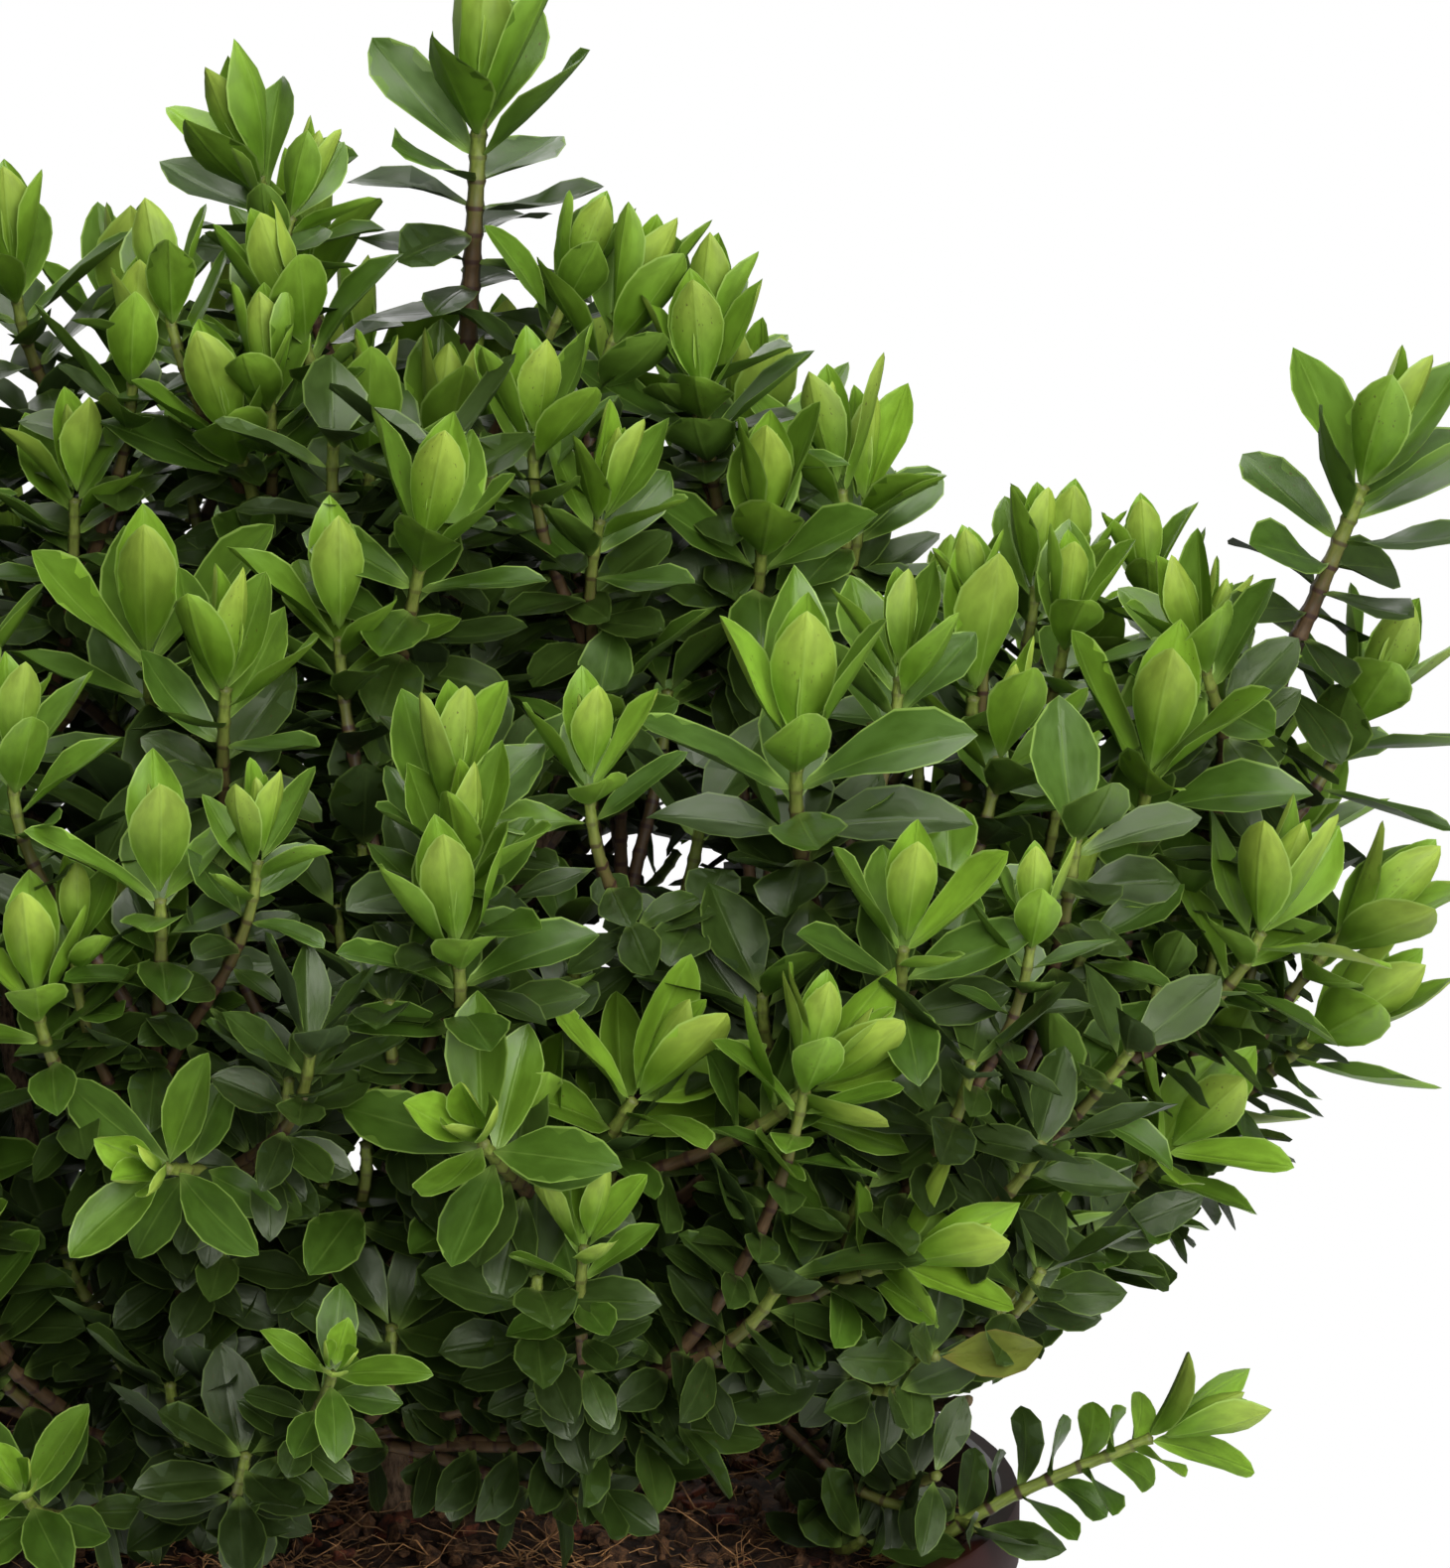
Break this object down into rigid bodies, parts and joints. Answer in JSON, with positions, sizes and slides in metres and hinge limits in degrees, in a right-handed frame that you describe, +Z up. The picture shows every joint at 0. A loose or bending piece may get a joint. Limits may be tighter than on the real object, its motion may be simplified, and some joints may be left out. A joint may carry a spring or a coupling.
{
  "type": "potted hebe shrub",
  "caption": "Leafy evergreen hebe shrub with many upright shoots, whole, standing in its round tapered nursery pot of compost.",
  "frame": {"origin": "centre of the pot's flat underside, on the surface that the pot stands on", "axes": "+Z up along the pot's axis, +X to the right and +Y to the back as the plant is seen from its front"},
  "size_m": [0.3854, 0.3541, 0.4736],
  "materials": {
    "leaf": "satin",
    "bark": "matte",
    "young_bark": "matte",
    "compost": "matte",
    "pot_plastic": "satin"
  },
  "bodies": {
    "root": {"bough_back": "young_bark", "bough_back_left": "young_bark", "bough_back_left_low": "young_bark", "bough_back_right": "young_bark", "bough_back_right_low": "young_bark", "bough_far_right_shoot": "young_bark", "bough_front": "young_bark", "bough_front_left": "young_bark", "bough_front_left_low": "young_bark", "bough_front_lower": "young_bark", "bough_front_right": "young_bark", "bough_front_right_low": "young_bark", "bough_front_rosette": "young_bark", "bough_left": "young_bark", "bough_left_low": "young_bark", "bough_right_foot": "young_bark", "bough_right_low": "young_bark", "bough_right_outer": "young_bark", "bough_right_upper": "young_bark", "bough_top_shoot": "young_bark", "bough_upper_back": "young_bark", "bough_upper_far_left": "young_bark", "bough_upper_front": "young_bark", "bough_upper_left": "young_bark", "bough_upper_right": "young_bark", "compost": "compost", "foliage_back": "leaf", "foliage_back_left": "leaf", "foliage_back_left_low": "leaf", "foliage_back_right": "leaf", "foliage_back_right_low": "leaf", "foliage_far_right_shoot": "leaf", "foliage_front": "leaf", "foliage_front_left": "leaf", "foliage_front_left_low": "leaf", "foliage_front_lower": "leaf", "foliage_front_right": "leaf", "foliage_front_right_low": "leaf", "foliage_front_rosette": "leaf", "foliage_left": "leaf", "foliage_left_low": "leaf", "foliage_right_foot": "leaf", "foliage_right_low": "leaf", "foliage_right_outer": "leaf", "foliage_right_upper": "leaf", "foliage_top_shoot": "leaf", "foliage_trailing_shoot": "leaf", "foliage_upper_back": "leaf", "foliage_upper_far_left": "leaf", "foliage_upper_front": "leaf", "foliage_upper_left": "leaf", "foliage_upper_right": "leaf", "pot": "pot_plastic", "stem_back": "bark", "stem_centre": "bark", "stem_left": "bark", "stem_right": "bark", "stem_trailing": "bark"}
  },
  "joints": []
}
